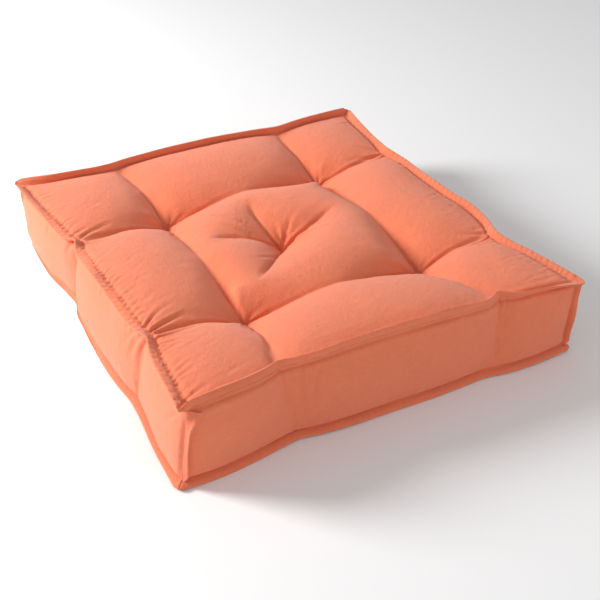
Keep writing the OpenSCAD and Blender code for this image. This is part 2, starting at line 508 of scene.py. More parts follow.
def flange_offset(u, v, tilt):
    """How far flange points stand from their seam. Past a corner both sides' flanges share one square."""
    eu = np.maximum(np.abs(u) - HALF, 0)
    ev = np.maximum(np.abs(v) - HALF, 0)
    ax = np.radians(np.where(u < 0, tilt["left"](inside(v)), tilt["right"](inside(v))))
    ay = np.radians(np.where(v < 0, tilt["front"](inside(u)), tilt["back"](inside(u))))
    dx = np.sign(u) * eu * np.cos(ax)
    dy = np.sign(v) * ev * np.cos(ay)
    dz = (eu**2 * np.sin(ax) + ev**2 * np.sin(ay)) / (eu + ev + 1e-9)
    blunt = ((np.maximum(eu, ev) + 1e-9) / (np.hypot(eu, ev) + 1e-9)) ** CORNER_BLUNT
    return np.stack([dx, dy, dz], axis=-1) * blunt[..., None]


def seam_points(u, v, inset, lift, level):
    dx, dy = seam_shift(u, v, inset)
    z = rim_z(u, v, lift, level) if lift else np.full_like(u, level)
    return np.stack([u + dx, v + dy, z], axis=-1)


def panel_surface(u_axis, v_axis, form, level, inset, tilt):
    """A panel and its flange, before its folds."""
    u, v = np.meshgrid(u_axis, v_axis, indexing="ij")
    uc, vc = inside(u), inside(v)
    z = level + form_at(form, inside(u_axis), inside(v_axis))
    dx, dy = seam_shift(uc, vc, inset)
    return np.stack([uc + dx, vc + dy, z], axis=2) + flange_offset(u, v, tilt)


def side_uv(side, s, e):
    """Panel places along a side, e past its seam and fanned out to the square corners."""
    axis, sign, _ = SIDES[side]
    fan = smooth(np.abs(s), HALF - 45, HALF) * np.sign(s)
    edge, run = sign * (HALF + e), s + fan * e
    return (edge + 0 * run, run) if axis == "v" else (run, edge + 0 * run)


def seam_line(side, s, inset, lift, level):
    return seam_points(*side_uv(side, s, 0 * s), inset, lift, level)


def flange_strip(side, s, e, inset, lift, level, tilt):
    """Points over one side's flange, for the band's ply of it."""
    ss, ee = np.meshgrid(s, e, indexing="ij")
    u, v = side_uv(side, ss, ee)
    return seam_points(inside(u), inside(v), inset, lift, level) + flange_offset(u, v, tilt)


# places across a flange, and the stitch row among them
EDGE = FLANGE * np.array([0.05, 0.12, 0.2, 0.29, 0.4, 0.52, 0.64, 0.76, 0.86, 0.94, 1.0])
STITCH_ROW = 2
N_EDGE = len(EDGE)
# where a panel's grid is closer for the outer tufts, how far around them, and how far around the centre one
OUTER_TUFTS_AT, OUTER_TUFTS_REACH, CENTRE_TUFT_REACH = 145, 17, 28


def axis_of(inner, near, tufts=0.0, reach=25.0):
    """Grid places across a panel: closer near the seams and the tufts, with a few over each flange."""
    fine = np.linspace(-HALF, HALF, 4001)
    weight = 1 + near * bell(HALF - np.abs(fine), reach)
    outer = bell(np.abs(fine) - OUTER_TUFTS_AT, OUTER_TUFTS_REACH)
    weight += tufts * (outer + 0.7 * bell(fine, CENTRE_TUFT_REACH))
    total = np.concatenate([[0], np.cumsum((weight[1:] + weight[:-1]) / 2)])
    places = np.interp(np.linspace(0, total[-1], inner), total, fine)
    return np.concatenate([-HALF - EDGE[::-1], places, HALF + EDGE])


PANELS = {
    "top": (top_form, TOP_Z, INSET_TOP, TILT_TOP),
    "bottom": (under_form, BOTTOM_Z, INSET_BOTTOM, TILT_BOTTOM),
}
U_AXIS = axis_of(136, 0.9, 1.3)
V_AXIS = axis_of(288, 0.1, 0.4)
S_AXIS = axis_of(360, 0.2)[N_EDGE:-N_EDGE]
EVEN_UP = np.linspace(0, 1, 52)
Z_AXIS = 0.4 * EVEN_UP + 0.3 * (1 - np.cos(math.pi * EVEN_UP))

# ---------------- cloth simulation of the stuffed cover

LATTICE, LATTICE_UP = 72, 12
SIM_FRAMES = 22
# how much longer the cloth is cut than it lies, and the furthest that a point may move
CUT_SLACK = 1.02
MOST_MOVE = 8.0
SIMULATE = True


def read_move(grid, u, v):
    """Reads an even grid of moves over a face at places u and v."""
    mu = resample(grid.shape[0], (u + HALF) / (2 * HALF))
    mv = resample(grid.shape[1], (v + HALF) / (2 * HALF))
    return np.einsum("ai,ijk,bj->abk", mu, grid, mv)


def lattice():
    """A closed box of cloth points: the index grid of each face, its quads and its number of points."""
    index = {}

    def at(i, j, k):
        return index.setdefault((i, j, k), len(index))

    n, m = LATTICE, LATTICE_UP
    flat, tall = range(n + 1), range(m + 1)
    grids = {
        "top": np.array([[at(i, j, m) for j in flat] for i in flat]),
        "bottom": np.array([[at(i, j, 0) for j in flat] for i in flat]),
        "left": np.array([[at(0, j, k) for k in tall] for j in flat]),
        "right": np.array([[at(n, j, k) for k in tall] for j in flat]),
        "front": np.array([[at(i, 0, k) for k in tall] for i in flat]),
        "back": np.array([[at(i, n, k) for k in tall] for i in flat]),
    }
    turned = {"top": False, "bottom": True, "left": True, "right": False, "front": False, "back": True}
    faces = []
    for face, g in grids.items():
        quads = np.stack([g[:-1, :-1], g[1:, :-1], g[1:, 1:], g[:-1, 1:]], axis=-1).reshape(-1, 4)
        faces.append(quads[:, ::-1] if turned[face] else quads)
    return grids, np.concatenate(faces), len(index)


def stuffed_lattice():
    """The stuffed cover at the lattice's points, and the weight with which each is held."""
    grids, faces, count = lattice()
    place = np.zeros((count, 3))
    held = np.zeros(count)
    axis = np.linspace(-HALF, HALF, LATTICE + 1)
    rise = np.linspace(0, 1, LATTICE_UP + 1)[None, :, None]
    for side in SIDES:
        top = seam_line(side, axis, INSET_TOP, LIFT_TOP, TOP_Z)[:, None, :]
        low = seam_line(side, axis, INSET_BOTTOM, None, BOTTOM_Z)[:, None, :]
        out = form_at(band_forms[side], axis, (rise[0, :, 0] * 2 - 1) * HALF)
        place[grids[side]] = low * (1 - rise) + top * rise + out[:, :, None] * SIDES[side][2]
        held[grids[side][[0, -1], :]] = 1
    for face, panel in PANELS.items():
        g = grids[face]
        place[g] = panel_surface(axis, axis, *panel)
        held[g[[0, -1], :]] = held[g[:, [0, -1]]] = 1
        for tuft in TUFTS.values():
            i, j = (int(round((c + HALF) / (2 * HALF) * LATTICE)) for c in tuft)
            held[g[i, j]] = 1
    return grids, faces, place, held


def simulate():
    """Blows the cover up a little as cloth and reads how far each face's points moved, in millimetres."""
    grids, faces, place, held = stuffed_lattice()
    me = bpy.data.meshes.new("cover_sim")
    me.from_pydata((place * MM).tolist(), [], faces.tolist())
    ob = bpy.data.objects.new("cover_sim", me)
    bpy.context.scene.collection.objects.link(ob)
    middle = np.array([0, 0, (TOP_Z + BOTTOM_Z) / 2])
    slack = (middle + (place - middle) * np.array([CUT_SLACK, CUT_SLACK, 1.0])) * MM
    ob.shape_key_add(name="Basis")
    key = ob.shape_key_add(name="cut")
    key.data.foreach_set("co", slack.ravel())
    key.value = 0
    group = ob.vertex_groups.new(name="held")
    group.add([int(i) for i in np.nonzero(held)[0]], 1.0, "REPLACE")
    cloth = ob.modifiers.new("cloth", "CLOTH")
    c = cloth.settings
    c.quality = 8
    c.mass = 0.15
    c.air_damping = 1
    c.tension_stiffness = c.compression_stiffness = 40
    c.tension_damping = c.compression_damping = 10
    c.shear_stiffness, c.shear_damping = 5, 2.5
    c.bending_stiffness, c.bending_damping = 0.5, 0.5
    c.use_pressure = True
    c.uniform_pressure_force = 3
    c.vertex_group_mass = "held"
    c.pin_stiffness = 50
    c.rest_shape_key = key
    c.effector_weights.gravity = 0
    cloth.collision_settings.use_collision = False
    cloth.point_cache.frame_start, cloth.point_cache.frame_end = 1, SIM_FRAMES
    scene = bpy.context.scene
    for f in range(1, SIM_FRAMES + 1):
        scene.frame_set(f)
    shown = ob.evaluated_get(bpy.context.evaluated_depsgraph_get()).data
    co = np.empty(len(place) * 3, np.float32)
    shown.vertices.foreach_get("co", co)
    move = co.reshape(-1, 3) / MM - place
    scene.frame_set(1)
    bpy.data.objects.remove(ob)
    bpy.data.meshes.remove(me)
    far = np.linalg.norm(move, axis=1, keepdims=True)
    move = move * (MOST_MOVE * np.tanh(far / MOST_MOVE) / np.maximum(far, 1e-9))
    return {face: move[g] for face, g in grids.items()}


# ---------------- folds


def cut_fold(field, u_axis, v_axis, line, depth, start_w, end_w, lips=0.4, fade=1.3, ease=0.0):
    """Presses a fold along a line into a height field: a groove between two soft lips."""
    reach = 4 * max(start_w, end_w)
    lo, hi = line.min(0) - reach, line.max(0) + reach
    i0, i1 = np.searchsorted(u_axis, (lo[0], hi[0]))
    j0, j1 = np.searchsorted(v_axis, (lo[1], hi[1]))
    if i1 <= i0 or j1 <= j0:
        return
    u, v = np.meshgrid(u_axis[i0:i1], v_axis[j0:j1], indexing="ij")
    d, s = nearest(u, v, line)
    x = d / (start_w + (end_w - start_w) * s)
    env = np.clip(1 - s, 0, 1) ** fade
    if ease:
        env = env * smooth(s, 0, ease)
    field[i0:i1, j0:j1] += depth * env * (lips * np.exp(-((x - 2.0) ** 2)) - np.exp(-(x**2)))


def notches(seed, wide_until):
    """Places along a gathered seam where its small pleats are nipped in."""
    rng = np.random.default_rng(seed)
    place, out = -HALF + 3, []
    while place < HALF - 4:
        out.append(place)
        place += rng.uniform(12, 17) if place < wide_until else rng.uniform(7.0, 12.0)
    return np.array(out)


GATHERS = {"left": notches(11, -262), "right": notches(23, -300)}
GATHER_HEIGHT = {"left": 2.5, "right": 2.0}
# how far a gather leans along its seam for each millimetre out over the flange
SLANT = 0.5
# how deep the folds of each side are, and the slants of the short folds and of the long ones
SIDE_DEPTH = {"left": 1.0, "right": 0.7, "front": 0.7, "back": 0.7}
SHORT_SLANT = {"left": (0.0, 0.42), "right": (-0.35, 0.15)}
LONG_SLANT = {"left": (0.05, 0.5), "right": (-0.35, 0.2)}
LONG_COUNT = {"left": 34, "right": 26}
TUFT_FOLDS, UNDER_TUFT_FOLDS = 15, 11
CREASE_DEPTH, SPENT_DEPTH = 4.4, 4.0
# what the depths and the two widths in NAMED_FOLDS are multiplied by
NAMED_SCALE = (2.2, 0.8, 0.75)


def rib(s, side):
    """The gathers along a seam: rounded ribs between the notches, about zero on average."""
    at = GATHERS[side]
    phase = np.interp(s, at, np.arange(len(at)))
    strength = np.random.default_rng(len(at)).uniform(0.55, 1.25, len(at) + 1)[phase.astype(int)]
    return (np.abs(np.sin(np.pi * phase)) ** 0.4 - 0.7) * strength


def panel_folds(u_axis, v_axis):
    """Fold heights over the top panel and its flange."""
    field = np.zeros((len(u_axis), len(v_axis)))
    for side, sign in (("left", -1), ("right", 1)):
        rng = np.random.default_rng(101 + sign)
        e = np.maximum(sign * u_axis - HALF, 0)
        over = np.interp(e, [0, 2.6, 6, 10, 12, 13], [0.08, 0.25, 0.9, 1.0, 0.7, 0.45])
        near_seam = bell(np.maximum(HALF - sign * u_axis, 0), 5.0)
        height = np.where(sign * u_axis >= HALF, over, 0.08 * near_seam)[:, None]
        field += GATHER_HEIGHT[side] * height * rib(v_axis[None, :] - SLANT * e[:, None], side)
        for place in GATHERS[side]:
            length = 8 + 52 * rng.random() ** 2.2
            slant = rng.uniform(*SHORT_SLANT[side])
            end = (sign * (HALF - length), place + slant * length)
            line = path((sign * (HALF + 1), place), end, rng.uniform(-2, 2), 9)
            depth = rng.uniform(0.7, 2.1) * SIDE_DEPTH[side]
            cut_fold(field, u_axis, v_axis, line, depth, 1.5, 1.8 + length * 0.05)
    for side, sign in (("left", -1), ("right", 1)):
        rng = np.random.default_rng(151 + sign)
        for _ in range(LONG_COUNT[side]):
            place, start = rng.uniform(-HALF + 14, HALF - 14), rng.uniform(4, 60)
            length = rng.uniform(26, 62)
            slant = rng.uniform(*LONG_SLANT[side])
            first = (sign * (HALF - start), place + slant * start)
            last = (sign * (HALF - start - length), place + slant * (start + length))
            line = path(first, last, rng.uniform(-4, 4), 11)
            cut_fold(field, u_axis, v_axis, line, rng.uniform(0.35, 0.9), 1.8, 3.4, fade=0.9, ease=0.25)
    for side, sign in (("front", -1), ("back", 1)):
        rng = np.random.default_rng(211 + sign)
        for place in np.cumsum(rng.uniform(16, 46, 18)) - HALF:
            if abs(place) < HALF - 8:
                length = rng.uniform(10, 34)
                line = path((place, sign * HALF), (place + rng.uniform(-6, 6), sign * (HALF - length)), 0, 7)
                cut_fold(field, u_axis, v_axis, line, rng.uniform(0.15, 0.4), 2.0, 4.5)
    rng = np.random.default_rng(307)
    for tuft in TUFTS.values():
        turn = rng.uniform(0, 2 * math.pi)
        for k in range(TUFT_FOLDS):
            angle = turn + 2 * math.pi * (k + rng.uniform(-0.3, 0.3)) / TUFT_FOLDS
            length = rng.uniform(22, 62)
            heading = np.array([math.cos(angle), math.sin(angle)])
            line = path(tuft + 3 * heading, tuft + length * heading, rng.uniform(-4, 4), 13)
            cut_fold(field, u_axis, v_axis, line, rng.uniform(1.4, 4.0), 1.5, 3.4, ease=0.08)
    for x0, y0, x1, y1, bow, depth, w0, w1 in NAMED_FOLDS:
        line = path((x0, y0), (x1, y1), bow, 17)
        by_depth, by_start, by_end = NAMED_SCALE
        cut_fold(field, u_axis, v_axis, line, by_depth * depth, by_start * w0, by_end * w1, ease=0.05)
    for p0, p1, _, end, _, bow, hold in CREASES_TOP:
        line = path(p0, p1, bow)
        # a crease between two tufts is cut from each of them towards its middle
        halves, fade = ((line[:20], line[:-21:-1]), 1.2) if end == DEEP else ((line,), 0.9)
        depth = CREASE_DEPTH * hold
        for half in halves:
            cut_fold(field, u_axis, v_axis, half, depth, 1.7, 4.2, lips=0.25, fade=fade, ease=0.03)
    for p0, p1, _, _, bow, hold in SPENT_TOP:
        line = path(p0, p1, bow)
        cut_fold(field, u_axis, v_axis, line, SPENT_DEPTH * hold, 1.7, 4.0, lips=0.3, fade=0.9, ease=0.05)
    inner = HALF - np.maximum(np.abs(u_axis)[:, None], np.abs(v_axis)[None, :])
    root = 0.8 * bell(inner - 10, 5) - 1.6 * bell(inner - 3, 2.4)
    field += np.where(inner > 0, root, 0)
    field += 0.22 * soft_noise(u_axis, v_axis, 26, 71) + 0.10 * soft_noise(u_axis, v_axis, 11, 72)
    return field


# folds that run in from the drawn-in places and out of the middle: x0, y0, x1, y1, bow, depth, widths
NAMED_FOLDS = [
    (-298, -139, -196, -122, 3, 2.2, 2.4, 5.5),
    (-298, -156, -205, -150, -3, 2.6, 2.4, 6.0),
    (-298, -172, -236, -190, 3, 1.6, 2.0, 5.0),
    (-298, -126, -222, -96, 2, 1.3, 2.0, 5.0),
    (-298, 112, -214, 132, 3, 1.4, 2.0, 5.0),
    (-298, 96, -218, 84, -3, 1.3, 2.0, 5.0),
    (298, 150, 214, 160, 3, 1.8, 2.2, 5.5),
    (298, 160, 226, 196, 3, 1.5, 2.2, 5.5),
    (298, 142, 222, 118, -3, 1.3, 2.2, 5.5),
    (298, -146, 206, -150, 3, 2.0, 2.2, 5.5),
    (298, -136, 216, -112, 3, 1.4, 2.2, 5.0),
    (-167, -298, -156, -226, 3, 1.6, 2.0, 6.0),
    (183, -298, 172, -224, -3, 1.8, 2.0, 6.0),
    (6, 10, 40, 64, -4, 1.2, 2.2, 6.0),
    (10, 8, 62, 56, 4, 1.2, 2.2, 6.0),
    (12, 0, 98, -72, 14, 1.9, 2.6, 5.5),
    (6, -12, 56, -54, 5, 1.5, 2.4, 5.0),
    (14, 4, 96, -22, 10, 1.3, 2.4, 5.0),
    (-38, 46, -92, 88, -8, 1.5, 2.4, 5.0),
    (-40, 24, -112, 68, -6, 1.3, 2.4, 5.0),
    (-14, -30, -84, -46, 5, 1.2, 2.4, 5.0),
    (-24, -58, -30, -104, 4, 1.1, 2.4, 5.0),
    (-146, 108, -120, 40, 6, 1.2, 2.2, 5.0),
    (-118, 118, -66, 110, 5, 1.4, 2.2, 5.0),
]
# the same on the bands: along, up, along, up, bow, depth, widths
BAND_FOLDS = {
    "left": [
        (106, 106, 100, 34, -9, 3.6, 2.5, 6.0), (98, 104, 84, 62, -4, 2.0, 2.0, 5.0),
        (116, 104, 128, 66, 4, 1.4, 2.0, 5.0),
        (-147, 106, -139, 40, 5, 2.4, 2.2, 6.0), (-134, 104, -118, 52, 4, 1.8, 2.0, 6.0),
        (-158, 104, -176, 60, -4, 1.4, 2.0, 5.0),
        (-120, 104, -98, 58, 3, 1.3, 2.0, 6.0), (112, 2, 104, 40, 3, 2.0, 2.0, 5.0),
        (-138, 2, -134, 44, 3, 1.6, 2.0, 6.0),
        (-290, 100, -262, 62, 3, 1.2, 2.0, 6.0), (-284, 92, -250, 44, 3, 1.0, 2.0, 6.0),
    ],
    "front": [
        (-167, 106, -160, 14, 4, 1.5, 2.2, 4.0), (-136, 104, -126, 18, -9, 1.3, 3.0, 5.0),
        (-112, 98, -112, 22, -10, 1.1, 3.0, 5.0),
        (183, 106, 178, 12, -6, 2.0, 2.4, 5.0), (-143, 2, -152, 40, 3, 1.2, 2.2, 6.0),
        (150, 2, 160, 34, 3, 1.0, 2.0, 5.0),
    ],
    "right": [(-146, 106, -150, 20, 5, 2.2, 2.4, 5.0), (152, 106, 150, 24, -5, 2.0, 2.4, 5.0)],
    "back": [(-150, 106, -150, 20, 5, 1.6, 2.4, 5.0), (150, 106, 150, 24, -5, 1.6, 2.4, 5.0)],
}


BAND_FOLD_COUNT = {"left": 44, "right": 26, "front": 8, "back": 12}


def band_folds(side, s_axis, up):
    """Fold heights over a band: s_axis along it, up from the lower flange's edge to the upper's."""
    field = np.zeros((len(s_axis), len(up)))
    rng = np.random.default_rng(400 + sum(map(ord, side)))
    for _ in range(BAND_FOLD_COUNT[side]):
        place = rng.uniform(-HALF + 12, HALF - 12)
        top = rng.random() < 0.65
        start, run = (RISE, -1) if top else (0, 1)
        length = rng.uniform(20, 62)
        last = (place + rng.uniform(-12, 12), start + run * length)
        line = path((place, start), last, rng.uniform(-3, 3), 11)
        cut_fold(field, s_axis, up, line, rng.uniform(0.3, 1.0) * SIDE_DEPTH[side], 2.0, 6.5)
    for x0, y0, x1, y1, bow, depth, w0, w1 in BAND_FOLDS[side]:
        cut_fold(field, s_axis, up, path((x0, y0), (x1, y1), bow, 17), depth, w0, w1, fade=0.9)
    if side in GATHERS:
        beyond = np.maximum(up - RISE, 0)
        below = bell(np.maximum(RISE - up, 0), 7.0)
        over = np.interp(beyond, [0, 2.6, 6, 10, 13], [0.3, 0.25, 0.5, 0.6, 0.3])
        height = np.where(up >= RISE, over, 0.45 * below)
        field -= 0.7 * GATHER_HEIGHT[side] * np.outer(rib(s_axis, side), height)
        under = np.maximum(-up, 0)
        field += 0.5 * np.outer(rib(s_axis * 0.93 + 4, side), smooth(under, 0, 6))
    depth = 1.8 + 0.5 * soft_noise(s_axis, np.array([0.0, 1.0]), 40, 540 + len(side))[:, :1]
    for below in (up, RISE - up):
        root = bell(below - 8, 4.0) * 0.6 - bell(below - 1.8, 1.6)
        field += np.where(below > 0, root, 0)[None, :] * depth
    coarse, fine = soft_noise(s_axis, up, 34, 500 + len(side)), soft_noise(s_axis, up, 12, 520 + len(side))
    return field + (0.3 * coarse + 0.08 * fine)


# how far the stitches stand from the seam, a ply's gap there, how far in it is felt, and what it puffs to
STITCH_LINE = 2.6
NIP, NIP_REACH, PUFF = 0.42, 4.0, 0.95


def ply_gap(e, width=FLANGE):
    """How far one ply of a flange stands from its middle: nipped at the stitches, puffed, then closed."""
    t = np.clip((e - STITCH_LINE) / (width - STITCH_LINE), 0, 1)
    puffed = NIP + PUFF * smooth(t, 0.0, 0.35)
    return puffed * np.sqrt(1 - 0.97 * np.clip((t - 0.78) / 0.22, 0, 1) ** 2)


# ---------------- meshes


def make_mesh(name, points, faces, uv=None):
    """A smooth mesh from points in millimetres and quads, without the points that no quad uses."""
    used, faces = np.unique(faces, return_inverse=True)
    faces = faces.reshape(-1, 4)
    points = points[used]
    me = bpy.data.meshes.new(name)
    me.vertices.add(len(points))
    me.vertices.foreach_set("co", (points * MM).astype(np.float32).ravel())
    me.loops.add(faces.size)
    me.loops.foreach_set("vertex_index", faces.ravel().astype(np.int32))
    me.polygons.add(len(faces))
    me.polygons.foreach_set("loop_start", (np.arange(len(faces)) * 4).astype(np.int32))
    me.update(calc_edges=True)
    me.polygons.foreach_set("use_smooth", np.ones(len(me.polygons), bool))
    if uv is not None:
        layer = me.uv_layers.new(name="cloth")
        layer.data.foreach_set("uv", (uv[used][faces.ravel()] * MM).astype(np.float32).ravel())
    ob = bpy.data.objects.new(name, me)
    bpy.context.scene.collection.objects.link(ob)
    return ob


def grid_faces(nu, nv, skip=None, flip=False):
    i, j = np.meshgrid(np.arange(nu - 1), np.arange(nv - 1), indexing="ij")
    if skip is not None:
        i, j = i[~skip], j[~skip]
    a = (i * nv + j).ravel()
    quads = np.stack([a, a + nv, a + nv + 1, a + 1], axis=1)
    return quads[:, ::-1] if flip else quads


CLOTH_THICK, UNDER_CLOTH_THICK = 0.5, 0.25


def thicken(ob, by=CLOTH_THICK):
    """Gives a sheet its cloth thickness, inward from the side that shows."""
    mod = ob.modifiers.new("thickness", "SOLIDIFY")
    mod.thickness = by * MM
    mod.offset = -1
    return ob


def ply_or_nip(past, inner, width=FLANGE):
    """The ply gap past a seam, and what is left of it inside the seam."""
    return np.where(past > 0, ply_gap(past, width), NIP * bell(inner, NIP_REACH))


def finish_panel(grid, u_axis, v_axis, folds, out):
    """Adds folds and the flange's ply gap to a panel, along its outward normals."""
    n = normals(grid) * out
    past = np.maximum(np.abs(u_axis)[:, None], np.abs(v_axis)[None, :]) - HALF
    gap = ply_or_nip(np.maximum(past, 0), np.maximum(-past, 0))
    return grid + n * (folds + gap)[:, :, None], n


CORNERS = {
    # heading at the bottom and top in degrees, width at the bottom and top, share of the height that turns
    "front_left": (284, 326, 9.5, 19.0, 0.72),
    "front_right": (318, 312, 11.0, 10.0, 0.8),
    "back_right": (45, 50, 10.0, 9.0, 0.8),
    "back_left": (140, 132, 6.5, 6.0, 0.8),
}
BAND_ENDS = {
    "left": ("front_left", "back_left"), "right": ("front_right", "back_right"),
    "front": ("front_left", "front_right"), "back": ("back_left", "back_right"),
}
# places across a corner's upright flange, its width in the cloth, and the lowest points of band and underside
STRIP = np.array([0.1, 0.22, 0.36, 0.52, 0.68, 0.82, 0.93, 1.0])
CORNER_FLANGE = 11.0
BAND_FLOOR, UNDER_FLOOR = 0.9, 0.3


def corner_strip(corner, t):
    """Heading and width of a corner's upright flange at height t, 0..1."""
    low, high, w_low, w_high, turn = CORNERS[corner]
    seed = sum(map(ord, corner))
    bend = smooth(t, turn, 1.0)
    angle = np.radians(low + (high - low) * bend + 9 * np.sin(7.0 * t + seed) * (1 - bend))
    width = w_low + (w_high - w_low) * bend + 0.8 * np.sin(11 * t + seed)
    width = width * (1 - 0.45 * bell(t, 0.05))
    return np.stack([np.cos(angle), np.sin(angle), 0 * t], axis=1), width


def band_surface(side, form):
    """A band with its plies of the flanges, before folds. Rows run along it, columns go up."""
    out = SIDES[side][2]
    top = seam_line(side, S_AXIS, INSET_TOP, LIFT_TOP, TOP_Z)
    low = seam_line(side, S_AXIS, INSET_BOTTOM, None, BOTTOM_Z)
    t = Z_AXIS[None, :, None]
    wall = low[:, None, :] * (1 - t) + top[:, None, :] * t
    wall = wall + form_at(form, S_AXIS, (Z_AXIS * 2 - 1) * HALF)[:, :, None] * out
    upper = flange_strip(side, S_AXIS, EDGE, INSET_TOP, LIFT_TOP, TOP_Z, TILT_TOP)
    lower = flange_strip(side, S_AXIS, EDGE, INSET_BOTTOM, None, BOTTOM_Z, TILT_BOTTOM)
    return lower[:, ::-1], wall, upper


def build_band(side, form, move):
    lower, wall, upper = band_surface(side, form)
    if move is not None:
        wall = wall + move
    grid = np.concatenate([lower, wall, upper], axis=1)
    up = np.concatenate([-EDGE[::-1], Z_AXIS * RISE, RISE + EDGE])
    ends = []
    for k, corner in enumerate(BAND_ENDS[side]):
        last = grid[-1 if k else 0]
        t = np.clip(up / RISE, 0, 1)
        heading, width = corner_strip(corner, t)
        reach = STRIP[None, :] if k else STRIP[::-1][None, :]
        strip = last[:, None, :] + heading[:, None, :] * (reach * width[:, None])[:, :, None]
        ends.append(strip.transpose(1, 0, 2))
    full = np.concatenate([ends[0], grid, ends[1]], axis=0)
    m = len(STRIP)
    n = normals(full)
    n[:m + 1, :N_EDGE], n[:m + 1, -N_EDGE:] = n[m + 1, :N_EDGE], n[m + 1, -N_EDGE:]
    n[-m - 1:, :N_EDGE], n[-m - 1:, -N_EDGE:] = n[-m - 2, :N_EDGE], n[-m - 2, -N_EDGE:]
    flip = (n[m:-m, N_EDGE:-N_EDGE] @ SIDES[side][2]).mean() < 0
    if flip:
        n = -n
    s_all = np.concatenate([-HALF - STRIP[::-1] * CORNER_FLANGE, S_AXIS, HALF + STRIP * CORNER_FLANGE])
    folds = band_folds(side, s_all, up)
    past = np.maximum(np.abs(s_all) - HALF, 0)
    folds = folds * (1 - smooth(past, 0, 4))[:, None]
    e_up = np.maximum(np.maximum(-up, up - RISE), 0)
    rim = np.minimum(np.maximum(up, 0), np.maximum(RISE - up, 0))
    gap_up = ply_or_nip(e_up, rim)
    near_end = np.maximum(HALF - np.abs(s_all), 0)
    gap_end = ply_or_nip(past, near_end, CORNER_FLANGE)
    gap = np.maximum(gap_up[None, :], gap_end[:, None])
    full = full + n * (folds + gap)[:, :, None]
    full[:, :, 2] = np.maximum(full[:, :, 2], BAND_FLOOR)
    rows, cols = full.shape[:2]
    skip = np.zeros((rows - 1, cols - 1), bool)
    for block in (slice(0, m), slice(rows - 1 - m, rows - 1)):
        skip[block, :N_EDGE] = True
        skip[block, cols - 1 - N_EDGE:] = True
    uv = np.stack(np.meshgrid(s_all, up, indexing="ij"), axis=2).reshape(-1, 2)
    ob = make_mesh(side + "_band_cloth", full.reshape(-1, 3), grid_faces(rows, cols, skip, flip), uv)
    return thicken(ob), full, n


moves = simulate() if SIMULATE else {}

under_folds = np.zeros((len(U_AXIS), len(V_AXIS)))
under_rng = np.random.default_rng(611)
for tuft in TUFTS.values():
    for k in range(UNDER_TUFT_FOLDS):
        angle = 2 * math.pi * (k + under_rng.uniform(-0.3, 0.3)) / UNDER_TUFT_FOLDS
        heading = np.array([math.cos(angle), math.sin(angle)])
        last = tuft + under_rng.uniform(20, 50) * heading
        line = path(tuft + 3 * heading, last, under_rng.uniform(-3, 3), 11)
        cut_fold(under_folds, U_AXIS, V_AXIS, line, under_rng.uniform(0.4, 1.2), 1.6, 4.6, ease=0.12)
under_folds += 0.2 * soft_noise(U_AXIS, V_AXIS, 26, 612)

cover = {}
panel_grids = {}
panel_uv = np.stack(np.meshgrid(U_AXIS, V_AXIS, indexing="ij"), axis=2).reshape(-1, 2)
for face, folds, out, thick in (
    ("top", panel_folds(U_AXIS, V_AXIS), 1, CLOTH_THICK),
    ("bottom", under_folds, -1, UNDER_CLOTH_THICK),
):
    base = panel_surface(U_AXIS, V_AXIS, *PANELS[face])
    if face in moves:
        base = base + read_move(moves[face], inside(U_AXIS), inside(V_AXIS))
    grid, n = finish_panel(base, U_AXIS, V_AXIS, folds, out)
    grid[:, :, 2] = np.maximum(grid[:, :, 2], UNDER_FLOOR)
    panel_grids[face] = (grid, n)
    quads = grid_faces(len(U_AXIS), len(V_AXIS), flip=out < 0)
    cloth = make_mesh(face + "_panel_cloth", grid.reshape(-1, 3), quads, panel_uv)
    cover[face + "_panel"] = thicken(cloth, thick)

band_grids = {}
for side in SIDES:
    move = None
    if side in moves:
        move = read_move(moves[side], S_AXIS, (Z_AXIS * 2 - 1) * HALF)
    cover[side + "_band"], full, n = build_band(side, band_forms[side], move)
    band_grids[side] = (full, n)

# ---------------- threads


def along_run(points, ups, pitch):
    """Places every pitch along a line of points: place, direction and the way the surface faces."""
    step = np.linalg.norm(np.diff(points, axis=0), axis=1)
    far = np.concatenate([[0], np.cumsum(step)])
    at = np.arange(pitch * 0.8, far[-1] - pitch * 0.8, pitch)
    place = np.stack([np.interp(at, far, points[:, k]) for k in range(3)], axis=1)
    ahead = np.stack([np.interp(at + 1.0, far, points[:, k]) for k in range(3)], axis=1)
    up = np.stack([np.interp(at, far, ups[:, k]) for k in range(3)], axis=1)
    forward = ahead - place
    forward /= np.linalg.norm(forward, axis=1, keepdims=True)
    up -= forward * (up * forward).sum(1, keepdims=True)
    up /= np.linalg.norm(up, axis=1, keepdims=True)
    return place, forward, up


STITCH_PITCH, STITCH_LENGTH, THREAD_R, THREAD_SIDES = 3.6, 2.7, 0.38, 6
# places along a stitch, its thickness there and how far it stands off the cloth there
STITCH_RINGS = np.array([-0.5, -0.42, -0.2, 0.2, 0.42, 0.5])
STITCH_SIZE = np.array([0.15, 0.75, 1.0, 1.0, 0.75, 0.15])
STITCH_RISE = np.array([-0.25, 0.02, 0.16, 0.16, 0.02, -0.25])


